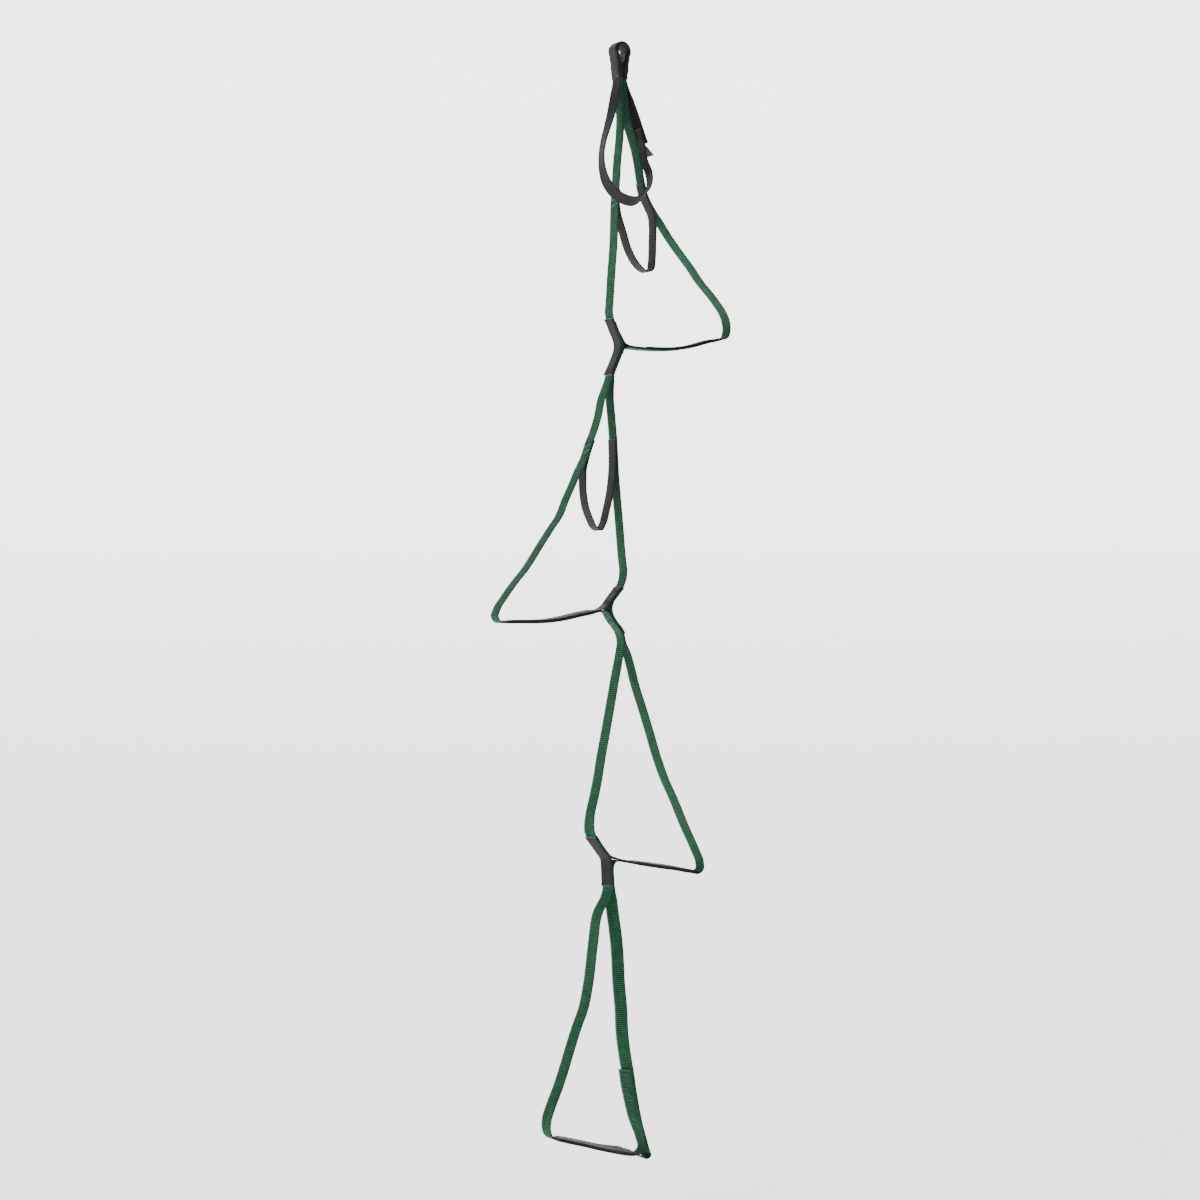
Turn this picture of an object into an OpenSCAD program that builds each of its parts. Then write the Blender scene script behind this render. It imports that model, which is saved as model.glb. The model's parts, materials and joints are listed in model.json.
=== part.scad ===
// Four-step webbing ladder (etrier) with a padded hanging eye.
// Origin: centre of the hanging eye. +Z up, ladder plane XZ, webbing width along Y.
// Every strap is a flat band: a side profile in the XZ plane, extruded along Y.

/* [Webbing] */
// Width of the green webbing
web_w = 18; // [15:0.5:20]
// Thickness of the green webbing
web_t = 1.8; // [1.4:0.1:2]
// Width of the black tape
tape_w = 17; // [14:0.5:18]
// Thickness of the black tape
tape_t = 1.6; // [1.2:0.1:1.7]
// Width of the grab strap
grab_w = 16; // [12:0.5:18]

/* [Hanging eye] */
// Radius of the hole that a connector goes through
eye_r = 6.5; // [6:0.5:8]
// Wall of the tubular sleeve round the eye
sleeve_t = 1.4; // [1:0.1:1.4]
// Width of the sleeve
sleeve_w = 19.4; // [19:0.1:21]
// Half of the gap between the two legs of the neck
neck_gap = 0.8; // [0.8:0.1:1]
// Lower end of the sleeve
neck_z = -36; // [-37:0.5:-34]

/* [Treads] */
// Thickness of the stiffening strip sewn inside each tread
stiffener_t = 1.1; // [0.8:0.1:1.1]
// Width of the stiffening strip
stiffener_w = 14; // [10:1:16]

/* [Stitching] */
// How far a bar of stitching stands out of the webbing
thread_h = 0.5; // [0.3:0.1:0.6]
// Width of one bar of stitching
thread_w = 1.6; // [1:0.2:2]

/* [Hidden] */
green = "seagreen";
black = "dimgray";
thread = "darkgreen";

// Smooth steps between two route points
steps = 3;
// Gap left between sewn layers
layer_gap = 0.05;
// Half the space left open round a swing hinge: above it, then below it
gap_over = 1.1;
gap_under = 1.3;
// Space left open at a twist
gap_twist = 0.6;
// Space left open under the neck's hinge for the straps outside the webs
gap_strap = 3.4;
// Length of the short necks under the junctions
neck_l = 12;
// Slope of the eye's sides from the vertical, where they leave the hole
side_angle = 36;
// Distance of those sides from the centre, as a share of the radius
side_inset = 0.98;

// Offset from a web to the tape, stiffener or second web sewn to it
to_web = web_t + layer_gap;
to_tape = (web_t + tape_t) / 2 + layer_gap;
to_stiffener = (web_t + stiffener_t) / 2 + layer_gap;
to_liner = web_t / 2 + stiffener_t + tape_t / 2 + 2 * layer_gap;

// Radii of the layers round the eye, from the hole outwards
web_in = eye_r + sleeve_t;
web_out = web_in + web_t;
strap_out = web_out + tape_t;
eye_out = strap_out + sleeve_t;
// Where the webs and the straps leave the neck
web_x = neck_gap + sleeve_t + web_t / 2;
strap_x = neck_gap + sleeve_t + web_t + tape_t / 2;

// Hinge points [x, z]: under the neck, then under each junction
hinge_1 = [0, -39.2];
hinge_2 = [-16, -427];
hinge_3 = [2, -771.5];
hinge_4 = [-17.6, -1095];

// Routes [x, z] of the webs, from the top down. The left route of a tier is the web
// on the left just under the junction above.
left_1 = [
    [-web_x, -36], [-1.5, -60], [1, -88], [0, -109], [-4, -145], [-6, -171], [-8, -199],
    [-10, -252], [-14, -299], [-16, -327], [-17, -345], [-14, -356], [-9, -367],
    [-3.5, -378], [-1.6, -386], [-3, -394], [-6.6, -402.5], [-11.2, -412], [-15.7, -421.5],
    [-17.1, -427]
];
strand_right_1 = [
    [web_x, -36], [6, -62], [11, -89], [18, -108], [25, -127], [30, -148], [34, -168],
    [39, -184], [49, -200], [66, -220], [80, -237], [97, -255], [115, -273], [133, -293],
    [150, -308], [162, -320], [170, -329], [176, -340], [178, -354], [175, -363]
];
tread_1 = [[164, -367.6], [141, -373.4], [118, -380], [86, -386], [50, -388.2], [20, -388]];
drop_1 = [
    [8, -387.6], [2.6, -389.6], [-0.4, -394.4], [-4.8, -403.2], [-9.4, -412.8],
    [-13.8, -422.2], [-15.1, -427]
];
rise_1 = [[8, -384.6], [3, -382], [-0.6, -376.4], [-7.2, -366.2], [-12.3, -355.4]];

left_strand_2 = [
    [-17.1, -427], [-18.7, -432], [-22, -440], [-29, -456], [-35, -480], [-42, -500],
    [-49, -515], [-57, -535], [-66, -551], [-76, -571], [-86, -590], [-96, -611],
    [-110, -629], [-125, -649], [-149, -681], [-165, -698], [-180, -716], [-191, -731],
    [-194, -740], [-190, -746.4]
];
tread_2 = [
    [-180, -748], [-162, -748.2], [-139, -748.4], [-115, -747.4], [-92, -744.4],
    [-68, -739.8], [-52, -737], [-36, -734.2]
];
drop_2 = [
    [-28, -733.8], [-23, -735.6], [-20.2, -739], [-17.4, -743.6], [-11.4, -750.8],
    [-4.5, -758.3], [-1, -764], [1.1, -771]
];
rise_2 = [[-29, -729.8], [-23.7, -726.2], [-19.1, -720.8], [-10.5, -711], [-2.4, -702]];
right_2 = [
    [-15.1, -427], [-15, -432], [-15.5, -440], [-15.7, -459], [-14, -475], [-12, -494],
    [-10.6, -508], [-7.6, -554], [-4.2, -588], [-1, -618], [1.8, -647], [4, -667],
    [5.8, -681], [4.5, -692], [0.5, -701], [-8.8, -712], [-17, -722], [-19.3, -731],
    [-16.5, -741], [-10.1, -749.5], [-3.2, -757], [0.8, -763], [3, -771]
];

left_3 = [
    [1.1, -771], [1.6, -777], [0.4, -785], [-8.5, -826], [-15.4, -859], [-22.5, -892],
    [-29.6, -923], [-35.7, -954], [-41, -976], [-46.2, -994], [-48.5, -1010],
    [-48.3, -1019], [-44.9, -1028], [-36.7, -1039], [-27.6, -1050], [-21.5, -1059],
    [-20.4, -1069], [-19.8, -1082], [-18.5, -1095]
];
strand_right_3 = [
    [3, -771], [5, -777], [9.4, -785], [16.7, -805], [23.8, -829], [35.6, -860],
    [47.5, -892], [60.8, -929], [73.9, -959], [86.5, -982], [108, -1025], [124.4, -1055],
    [132, -1072], [132, -1081]
];
tread_3 = [[126, -1085.6], [112, -1083.4], [84, -1077.5], [58, -1073], [33, -1068.5], [6, -1063.2]];
drop_3 = [[-6, -1061.4], [-14, -1062.4], [-17.6, -1067], [-18, -1074], [-17.7, -1083], [-16.6, -1095]];
rise_3 = [[-6, -1058.4], [-14, -1055.8], [-20.2, -1053.8], [-26, -1048.6], [-35.1, -1037.6], [-43.1, -1026.6]];

left_strand_4 = [
    [-18.5, -1095], [-19.6, -1101], [-23, -1109], [-28, -1116], [-34, -1125],
    [-38, -1136], [-41, -1155], [-45, -1183], [-47.5, -1202], [-51, -1222], [-58, -1250],
    [-68, -1272], [-78, -1297], [-88, -1324], [-98, -1348], [-109, -1371],
    [-115, -1387], [-115.5, -1399], [-111, -1409]
];
tread_4 = [[-103, -1413.4], [-90, -1417], [-65, -1424.4], [-33, -1434.6], [-1, -1443], [20, -1448]];
flap_4 = [[30, -1448.4], [35.4, -1443], [33.6, -1432], [24.2, -1405.6], [16.2, -1370.6], [10.2, -1337]];
right_4 = [
    [-16.6, -1095], [-15.8, -1101], [-14, -1109], [-12, -1125], [-7, -1156], [-4.5, -1176],
    [-3, -1196], [-2, -1217], [0, -1237], [2, -1256], [4, -1290], [8.5, -1319],
    [12.1, -1337], [18, -1370], [26.1, -1405], [36.1, -1431], [42.5, -1447], [44.6, -1453],
    [40, -1456.4], [32, -1453.6]
];
rise_4 = [[29.6, -1444.2], [32.2, -1440], [30.4, -1430]];

// Routes of the black tape loops and of the grab strap's tail
loop_1 = [
    [-4.6, -182], [-6, -199], [-4, -212], [4, -234], [15.5, -262], [26, -276],
    [36, -283.5], [44.6, -285], [50, -281.5], [52, -272], [53.3, -246], [53.7, -223],
    [52, -211], [46.8, -201.2], [37.1, -184.8], [32.2, -169]
];
loop_2 = [
    [-45.4, -512], [-54.6, -536], [-58.4, -551], [-59, -564.5], [-57.5, -586], [-54, -601],
    [-47.5, -615], [-41.5, -624.6], [-34, -628.4], [-28, -621], [-22, -603], [-17.2, -585],
    [-13, -560], [-11.6, -540], [-12.4, -508.6]
];
flap_hinge_1 = -211;
flap_hinge_2 = -546;
tail_route = [
    [strap_x, -36], [7.5, -47], [12, -58], [18.6, -72], [24, -84], [30, -98],
    [35, -110], [38.5, -117]
];
end_flap_route = [[36.6, -119.4], [43, -124.6], [50.5, -131]];
// Route [x, y, z] of the grab strap: it hangs in front of the webs
grab_route = [
    [-strap_x, 0, -36], [-5.6, 0, -46], [-8.4, -1, -56], [-12, -3, -68], [-18, -6, -84],
    [-25.5, -9, -102], [-34, -12, -122], [-39.5, -15, -142], [-40.5, -18, -160],
    [-36, -20.5, -177], [-25, -22, -190], [-10, -23, -197], [6, -23, -198.5], [19, -23, -192.5],
    [29, -22.5, -182], [34, -20.5, -170], [36, -15.5, -157], [35.6, -8, -144], [34.8, -4, -131],
    [34.4, -2, -120], [32.4, -1, -109], [28.2, 0, -98.4]
];
// First and last route points of the strap that swings freely
grab_free = [4, 18];

// ---- Curves ----

function span(p, i) = norm(p[i + 1] - p[i]);

// Direction of the route p at point i, per millimetre
function slope(p, i) =
    let (n = len(p) - 1)
    i == 0 ? (p[1] - p[0]) / span(p, 0) :
    i == n ? (p[n] - p[n - 1]) / span(p, n - 1) :
    let (a = span(p, i - 1), b = span(p, i))
    ((p[i] - p[i - 1]) / a * b + (p[i + 1] - p[i]) / b * a) / (a + b);

function hermite(p, i, t) =
    let (h = span(p, i))
    (2 * t ^ 3 - 3 * t ^ 2 + 1) * p[i] + (t ^ 3 - 2 * t ^ 2 + t) * h * slope(p, i) +
    (3 * t ^ 2 - 2 * t ^ 3) * p[i + 1] + (t ^ 3 - t ^ 2) * h * slope(p, i + 1);

function smooth(p) = [
    for (i = [0:len(p) - 2]) for (k = [0:steps - 1]) hermite(p, i, k / steps),
    p[len(p) - 1]
];

// The route p moved d to its left-hand side: to +X where it runs down
function shift(p, d) = [
    for (i = [0:len(p) - 1])
        let (t = p[min(i + 1, len(p) - 1)] - p[max(i - 1, 0)])
        p[i] + d / norm(t) * [-t[1], t[0]]
];

function reversed(p) = [for (i = [len(p) - 1:-1:0]) p[i]];

function part_of(p, first, last) = [for (i = [first:last]) p[i]];

// ---- Bands ----

// Side profile of a band of thickness t along the smooth route p
module profile(p, t) {
    polygon(concat(shift(p, t / 2), reversed(shift(p, -t / 2))));
}

// Keeps what lies between two heights
module between(z_low, z_high) {
    intersection() {
        children();
        translate([-300, z_low]) square([600, z_high - z_low]);
    }
}

// Turns a side profile into a solid of width w, centred on the ladder plane
module across(w) {
    rotate([90, 0, 0]) linear_extrude(height = w, center = true) children();
}

module band(p, t, w, z_low, z_high) {
    across(w) between(z_low, z_high) profile(p, t);
}

// Bars of stitching across a web route, on the side given by the sign of offset
module bars(p, heights, offset, w) {
    for (z = heights)
        across(w) between(z - thread_w / 2, z + thread_w / 2) profile(shift(p, offset), thread_h);
}

// A band of width w and thickness t along a route in space, as one closed skin
module ribbon(route, w, t) {
    p = smooth(route);
    n = len(p);
    corners = [[-t / 2, -w / 2], [t / 2, -w / 2], [t / 2, w / 2], [-t / 2, w / 2]];
    rings = [
        for (i = [0:n - 1])
            let (
                d = p[min(i + 1, n - 1)] - p[max(i - 1, 0)],
                face = cross(d, [0, 1, 0]) / norm(cross(d, [0, 1, 0])),
                side = cross(face, d) / norm(cross(face, d))
            )
            for (c = corners) p[i] + c[0] * face + c[1] * side
    ];
    sides = [
        for (i = [0:n - 2]) for (k = [0:3])
            let (a = 4 * i + k, b = 4 * i + (k + 1) % 4)
            each [[a, b, b + 4], [a, b + 4, a + 4]]
    ];
    caps = [[0, 3, 2], [0, 2, 1], [4 * n - 4, 4 * n - 3, 4 * n - 2], [4 * n - 4, 4 * n - 2, 4 * n - 1]];
    polyhedron(points = rings, faces = concat(sides, caps));
}

// ---- Hanging eye ----

// Teardrop block of radius r and width w, whose straight neck ends at bottom
module eye_block(r, w, bottom) {
    neck = r - eye_r + neck_gap;
    // The sides lie a little inside the tangents, so that they meet the round at an edge
    side = side_inset * r;
    neck_start = (neck * cos(side_angle) - side) / sin(side_angle);
    rotate([90, 0, 0]) cylinder(r = r, h = w, center = true, $fn = 96);
    across(w) polygon([
        [-side * cos(side_angle), -side * sin(side_angle)],
        [side * cos(side_angle), -side * sin(side_angle)],
        [neck, neck_start],
        [neck, bottom],
        [-neck, bottom],
        [-neck, neck_start]
    ]);
}

// One layer of the eye, between two radii
module eye_layer(r_in, r_out, w, bottom) {
    difference() {
        eye_block(r_out, w, bottom);
        eye_block(r_in, w + 2, bottom - 1);
    }
}

module eye_sleeve() {
    color(black) difference() {
        eye_layer(eye_r, eye_out, sleeve_w, neck_z);
        eye_layer(web_in - layer_gap, strap_out + layer_gap, web_w + 2 * layer_gap, neck_z - 1);
    }
}

module eye_web() {
    color(green) eye_layer(web_in, web_out - layer_gap, web_w, neck_z);
}

module eye_strap() {
    color(black) eye_layer(web_out, strap_out, grab_w, neck_z);
}

module neck_stitching() {
    x = strap_out - eye_r + neck_gap + sleeve_t;
    color(thread) for (side = [-1, 1])
        translate([side * (x + thread_h / 2), 0, neck_z + 2.5])
            cube([thread_h, web_w - 2, thread_w], center = true);
}

// ---- Webs ----

// Heights between which the web of each part of a tier runs
function neck_top(h) = h[1] - gap_under;
function neck_end(h) = h[1] - neck_l;
function tier_top(h) = neck_end(h) - gap_twist;
function junction_end(h) = h[1] + gap_over;

module web(p, z_low, z_high) {
    color(green) band(smooth(p), web_t, web_w, z_low, z_high);
}

module neck_web(p, h) {
    web(p, neck_end(h), neck_top(h));
}

// The black top layer of a tread, with its upturned tail
module liner(tread, rise, side) {
    color(black) band(concat(shift(smooth(tread), side * to_liner), smooth(rise)), tape_t, tape_w, -1500, 0);
}

module stiffener(tread, side) {
    p = smooth(tread);
    color("gainsboro") band(part_of(shift(p, side * to_stiffener), 2, len(p) - 3), stiffener_t, stiffener_w, -1500, 0);
}

module patch(p, side, z_low, z_high) {
    color(black) band(shift(smooth(p), side * to_tape), tape_t, tape_w, z_low, z_high);
}

// Stitching through a junction: bars on the tape tail over the tread, which runs up, and
// on the web under it, which runs down. side is 1 where the tread comes from +X.
module junction_stitching(upper, upper_z, lower, lower_z, side) {
    color(thread) {
        bars(smooth(upper), upper_z, -side * (tape_t + thread_h) / 2, tape_w - 3);
        bars(smooth(lower), lower_z, side * (web_t + thread_h) / 2, web_w - 3);
    }
}

// ---- Sub-steps and grab strap ----

// The two sewn ends of a tape loop, which stay on the webs
module loop_tails(route, hinge_z) {
    color(black) band(smooth(route), tape_t, tape_w, hinge_z + 5, 0);
}

module free_loop(route, hinge_z) {
    color(black) band(smooth(route), tape_t, tape_w, -1500, hinge_z - 6);
}

module grab_tail() {
    color(black) band(smooth(tail_route), tape_t, grab_w, -200, hinge_1[1] - gap_strap);
}

module grab_root() {
    color(black) difference() {
        union() {
            ribbon(part_of(grab_route, 0, 3), grab_w, tape_t);
            ribbon(part_of(grab_route, 19, 21), grab_w, tape_t);
        }
        translate([-50, -50, hinge_1[1] - gap_strap]) cube(100);
    }
}

module grab_loop() {
    color(black) ribbon(part_of(grab_route, grab_free[0], grab_free[1]), grab_w, tape_t);
}

// The folded end of the grab strap, which stands out under the tail
module grab_end_flap() {
    color(black) translate([0, 1, 0]) band(smooth(end_flap_route), tape_t, grab_w - 2, -200, 0);
}

module grab_stitching() {
    color(thread) bars(smooth(tail_route), [-108, -103.5, -99], (tape_t + thread_h) / 2, grab_w - 3);
}

// Bars of stitching on the outer faces of two webs
module sub_step_stitching(left, left_z, right, right_z) {
    offset = (web_t + thread_h) / 2;
    color(thread) {
        bars(smooth(left), left_z, -offset, web_w - 3);
        bars(smooth(right), right_z, offset, web_w - 3);
    }
}

right_1 = concat(strand_right_1, tread_1, drop_1);
left_2 = concat(left_strand_2, tread_2, drop_2);
right_3 = concat(strand_right_3, tread_3, drop_3);
left_4 = concat(left_strand_4, tread_4, flap_4);

eye_sleeve();
eye_web();
eye_strap();
neck_stitching();

web(left_1, junction_end(hinge_2), neck_top(hinge_1));  // left_web_1
web(right_1, junction_end(hinge_2), neck_top(hinge_1));  // right_web_1
liner(tread_1, rise_1, -1);  // tread_liner_1
stiffener(tread_1, -1);  // tread_stiffener_1
patch(left_1, -1, junction_end(hinge_2), -351);  // junction_patch_1
junction_stitching(rise_1, [-362, -370], drop_1, [-402, -410, -418], 1);  // junction_stitching_1

grab_root();
grab_tail();
grab_end_flap();
grab_stitching();
grab_loop();

loop_tails(loop_1, flap_hinge_1);  // sub_step_tails_1
sub_step_stitching(left_1, [-191, -197, -203], right_1, [-176, -183, -190]);  // sub_step_stitching_1
free_loop(loop_1, flap_hinge_1);  // sub_step_loop_1

neck_web(left_strand_2, hinge_2);  // left_neck_2
neck_web(right_2, hinge_2);  // right_neck_2
web(left_2, junction_end(hinge_3), tier_top(hinge_2));  // left_web_2
web(right_2, junction_end(hinge_3), tier_top(hinge_2));  // right_web_2
liner(tread_2, rise_2, 1);  // tread_liner_2
stiffener(tread_2, 1);  // tread_stiffener_2
patch(right_2, 1, -764, -702);  // junction_patch_2
junction_stitching(rise_2, [-708, -716], drop_2, [-746, -752, -758], -1);  // junction_stitching_2

loop_tails(loop_2, flap_hinge_2);  // sub_step_tails_2
sub_step_stitching(left_2, [-517, -523, -529], right_2, [-514, -522, -530]);  // sub_step_stitching_2
free_loop(loop_2, flap_hinge_2);  // sub_step_loop_2

neck_web(left_3, hinge_3);  // left_neck_3
neck_web(right_3, hinge_3);  // right_neck_3
web(left_3, junction_end(hinge_4), tier_top(hinge_3));  // left_web_3
web(right_3, junction_end(hinge_4), tier_top(hinge_3));  // right_web_3
liner(tread_3, rise_3, -1);  // tread_liner_3
stiffener(tread_3, -1);  // tread_stiffener_3
patch(left_3, -1, junction_end(hinge_4), -1027);  // junction_patch_3
junction_stitching(rise_3, [-1033, -1041], drop_3, [-1074, -1081, -1088], 1);  // junction_stitching_3

neck_web(left_4, hinge_4);  // left_neck_4
neck_web(right_4, hinge_4);  // right_neck_4
web(left_4, -1500, tier_top(hinge_4));  // left_web_4
web(right_4, -1500, tier_top(hinge_4));  // right_web_4
liner(tread_4, rise_4, 1);  // tread_liner_4
stiffener(tread_4, 1);  // tread_stiffener_4
color(thread) bars(smooth(flap_4), [for (i = [0:10]) -1346 - 6.6 * i], (web_t + thread_h) / 2, web_w - 3);  // flap_stitching
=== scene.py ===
"""Four-step webbing ladder with a padded hanging eye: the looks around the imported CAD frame."""

import json
import math

import bpy
import numpy as np
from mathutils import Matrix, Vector


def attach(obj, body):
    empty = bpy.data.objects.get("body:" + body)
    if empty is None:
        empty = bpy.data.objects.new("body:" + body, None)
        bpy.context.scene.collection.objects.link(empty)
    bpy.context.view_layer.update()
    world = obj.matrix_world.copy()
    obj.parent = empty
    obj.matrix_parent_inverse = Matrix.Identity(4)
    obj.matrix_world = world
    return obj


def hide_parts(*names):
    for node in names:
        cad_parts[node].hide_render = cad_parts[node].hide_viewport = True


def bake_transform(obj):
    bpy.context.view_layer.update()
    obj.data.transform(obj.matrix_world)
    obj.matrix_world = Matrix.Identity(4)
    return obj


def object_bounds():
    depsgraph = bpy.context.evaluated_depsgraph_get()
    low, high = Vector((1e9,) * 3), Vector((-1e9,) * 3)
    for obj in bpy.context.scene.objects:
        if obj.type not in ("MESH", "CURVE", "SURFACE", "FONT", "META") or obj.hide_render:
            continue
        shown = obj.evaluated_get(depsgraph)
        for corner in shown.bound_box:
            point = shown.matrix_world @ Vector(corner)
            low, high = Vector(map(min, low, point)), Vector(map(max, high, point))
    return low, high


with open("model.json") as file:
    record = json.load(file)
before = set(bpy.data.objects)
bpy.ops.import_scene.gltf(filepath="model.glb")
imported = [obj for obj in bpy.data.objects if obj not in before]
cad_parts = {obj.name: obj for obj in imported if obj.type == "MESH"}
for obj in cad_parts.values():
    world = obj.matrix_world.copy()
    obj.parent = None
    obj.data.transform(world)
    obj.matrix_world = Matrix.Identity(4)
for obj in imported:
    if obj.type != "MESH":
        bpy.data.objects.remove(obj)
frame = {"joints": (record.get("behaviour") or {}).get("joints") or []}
cad_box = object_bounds()

MM = 0.001

# ---- Sizes in millimetres, as in the CAD source ----

WEB_W, WEB_T = 18.0, 1.8
TAPE_W, TAPE_T = 17.0, 1.6
GRAB_W = 16.0
STIFFENER_W, STIFFENER_T = 14.0, 1.1
LAYER_GAP = 0.05
EYE_R = 6.5
SLEEVE_W = 19.4
SLEEVE_T = 1.4
# Thickness of one side of the eye: the sleeve's two walls, with the web and the tape between them
EYE_T = SLEEVE_T * 2 + WEB_T + TAPE_T
NECK_GAP = 0.8
NECK_Z = -36.0
# Heights between which the straps bend under the neck
NECK_BEND = (-37, -54)
WEB_X = NECK_GAP + SLEEVE_T + WEB_T / 2
STRAP_X = NECK_GAP + SLEEVE_T + WEB_T + TAPE_T / 2
TO_TAPE = (WEB_T + TAPE_T) / 2 + LAYER_GAP
TO_LINER = WEB_T / 2 + STIFFENER_T + TAPE_T / 2 + 2 * LAYER_GAP

# Pitch of the ribs across the green webbing, and of the tape's finer weave
RIB_PITCH = 2.6
TAPE_PITCH = 1.3
# How far the ribs stand out of a face, and out of the selvedges
WEB_RIB, WEB_SELVEDGE = 0.24, 0.5
TAPE_RIB, TAPE_SELVEDGE = 0.07, 0.12
# Points of a tread's line that its stiffening strip stops short of, at each end
STRIP_MARGIN = 8
# How far the bottom flap is sewn to one side of the web that it lies on
FLAP_SHIFT = 2.8
# The view, 35 degrees to the side of the ladder's plane
AWAY = Vector((0.5736, 0.8192, 0))
ACROSS = Vector((0.8192, -0.5736, 0))
# Heights of the swing hinges under the junctions
HINGE_2, HINGE_3, HINGE_4 = -427.0, -771.5, -1095.0
# Height at which a web passes from one piece to the next, just under each swing hinge
UNDER_HINGE = 7.5

# ---- Routes [x, z] in millimetres, from the top down, as in the CAD source ----

LEFT_1 = [
    (-WEB_X, -36), (-1.5, -60), (1, -88), (0, -109), (-4, -145), (-6, -171), (-8, -199),
    (-10, -252), (-14, -299), (-16, -327), (-17, -345), (-14, -356), (-9, -367),
    (-3.5, -378), (-1.6, -386), (-3, -394), (-6.6, -402.5), (-11.2, -412), (-15.7, -421.5),
    (-17.1, -427),
]
STRAND_RIGHT_1 = [
    (WEB_X, -36), (6, -62), (11, -89), (18, -108), (25, -127), (30, -148), (34, -168),
    (39, -184), (49, -200), (66, -220), (80, -237), (97, -255), (115, -273), (133, -293),
    (150, -308), (162, -320), (170, -329), (176, -340), (178, -354), (175, -363),
]
TREAD_1 = [(164, -367.6), (141, -373.4), (118, -380), (86, -386), (50, -388.2), (20, -388)]
DROP_1 = [
    (8, -387.6), (2.6, -389.6), (-0.4, -394.4), (-4.8, -403.2), (-9.4, -412.8),
    (-13.8, -422.2), (-15.1, -427),
]
RISE_1 = [(8, -384.6), (3, -382), (-0.6, -376.4), (-7.2, -366.2), (-12.3, -355.4)]

LEFT_STRAND_2 = [
    (-17.1, -427), (-18.7, -432), (-22, -440), (-29, -456), (-35, -480), (-42, -500),
    (-49, -515), (-57, -535), (-66, -551), (-76, -571), (-86, -590), (-96, -611),
    (-110, -629), (-125, -649), (-149, -681), (-165, -698), (-180, -716), (-191, -731),
    (-194, -740), (-190, -746.4),
]
TREAD_2 = [
    (-180, -748), (-162, -748.2), (-139, -748.4), (-115, -747.4), (-92, -744.4),
    (-68, -739.8), (-52, -737), (-36, -734.2),
]
DROP_2 = [
    (-28, -733.8), (-23, -735.6), (-20.2, -739), (-17.4, -743.6), (-11.4, -750.8),
    (-4.5, -758.3), (-1, -764), (1.1, -771),
]
RISE_2 = [(-29, -729.8), (-23.7, -726.2), (-19.1, -720.8), (-10.5, -711), (-2.4, -702)]
RIGHT_2 = [
    (-15.1, -427), (-15, -432), (-15.5, -440), (-15.7, -459), (-14, -475), (-12, -494),
    (-10.6, -508), (-7.6, -554), (-4.2, -588), (-1, -618), (1.8, -647), (4, -667),
    (5.8, -681), (4.5, -692), (0.5, -701), (-8.8, -712), (-17, -722), (-19.3, -731),
    (-16.5, -741), (-10.1, -749.5), (-3.2, -757), (0.8, -763), (3, -771),
]

LEFT_3 = [
    (1.1, -771), (1.6, -777), (0.4, -785), (-8.5, -826), (-15.4, -859), (-22.5, -892),
    (-29.6, -923), (-35.7, -954), (-41, -976), (-46.2, -994), (-48.5, -1010),
    (-48.3, -1019), (-44.9, -1028), (-36.7, -1039), (-27.6, -1050), (-21.5, -1059),
    (-20.4, -1069), (-19.8, -1082), (-18.5, -1095),
]
STRAND_RIGHT_3 = [
    (3, -771), (5, -777), (9.4, -785), (16.7, -805), (23.8, -829), (35.6, -860),
    (47.5, -892), (60.8, -929), (73.9, -959), (86.5, -982), (108, -1025), (124.4, -1055),
    (132, -1072), (132, -1081),
]
TREAD_3 = [
    (126, -1085.6), (112, -1083.4), (84, -1077.5), (58, -1073), (33, -1068.5), (6, -1063.2),
]
DROP_3 = [
    (-6, -1061.4), (-14, -1062.4), (-17.6, -1067), (-18, -1074), (-17.7, -1083),
    (-16.6, -1095),
]
RISE_3 = [
    (-6, -1058.4), (-14, -1055.8), (-20.2, -1053.8), (-26, -1048.6), (-35.1, -1037.6),
    (-43.1, -1026.6),
]

LEFT_STRAND_4 = [
    (-18.5, -1095), (-19.6, -1101), (-23, -1109), (-28, -1116), (-34, -1125),
    (-38, -1136), (-41, -1155), (-45, -1183), (-47.5, -1202), (-51, -1222), (-58, -1250),
    (-68, -1272), (-78, -1297), (-88, -1324), (-98, -1348), (-109, -1371),
    (-115, -1387), (-115.5, -1399), (-111, -1409),
]
TREAD_4 = [
    (-103, -1413.4), (-90, -1417), (-65, -1424.4), (-33, -1434.6), (-1, -1443), (20, -1448),
]
FLAP_4 = [
    (30, -1448.4), (35.4, -1443), (33.6, -1432), (24.2, -1405.6), (16.2, -1370.6),
    (10.2, -1337),
]
RIGHT_4 = [
    (-16.6, -1095), (-15.8, -1101), (-14, -1109), (-12, -1125), (-7, -1156), (-4.5, -1176),
    (-3, -1196), (-2, -1217), (0, -1237), (2, -1256), (4, -1290), (8.5, -1319),
    (12.1, -1337), (18, -1370), (26.1, -1405), (36.1, -1431), (42.5, -1447), (44.6, -1453),
    (40, -1456.4), (32, -1453.6),
]

LOOP_1 = [
    (-4.6, -182), (-6, -199), (-4, -212), (4, -234), (15.5, -262), (26, -276),
    (36, -283.5), (44.6, -285), (50, -281.5), (52, -272), (53.3, -246), (53.7, -223),
    (52, -211), (46.8, -201.2), (37.1, -184.8), (32.2, -169),
]
LOOP_2 = [
    (-45.4, -512), (-54.6, -536), (-58.4, -551), (-59, -564.5), (-57.5, -586), (-54, -601),
    (-47.5, -615), (-41.5, -624.6), (-34, -628.4), (-28, -621), (-22, -603), (-17.2, -585),
    (-13, -560), (-11.6, -540), (-12.4, -508.6),
]
TAIL = [
    (STRAP_X, -36), (7.5, -47), (12, -58), (18.6, -72), (24, -84), (30, -98),
    (35, -110), (38.5, -117),
]
END_FLAP = [(36.6, -119.4), (43, -124.6), (50.5, -131)]
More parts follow.
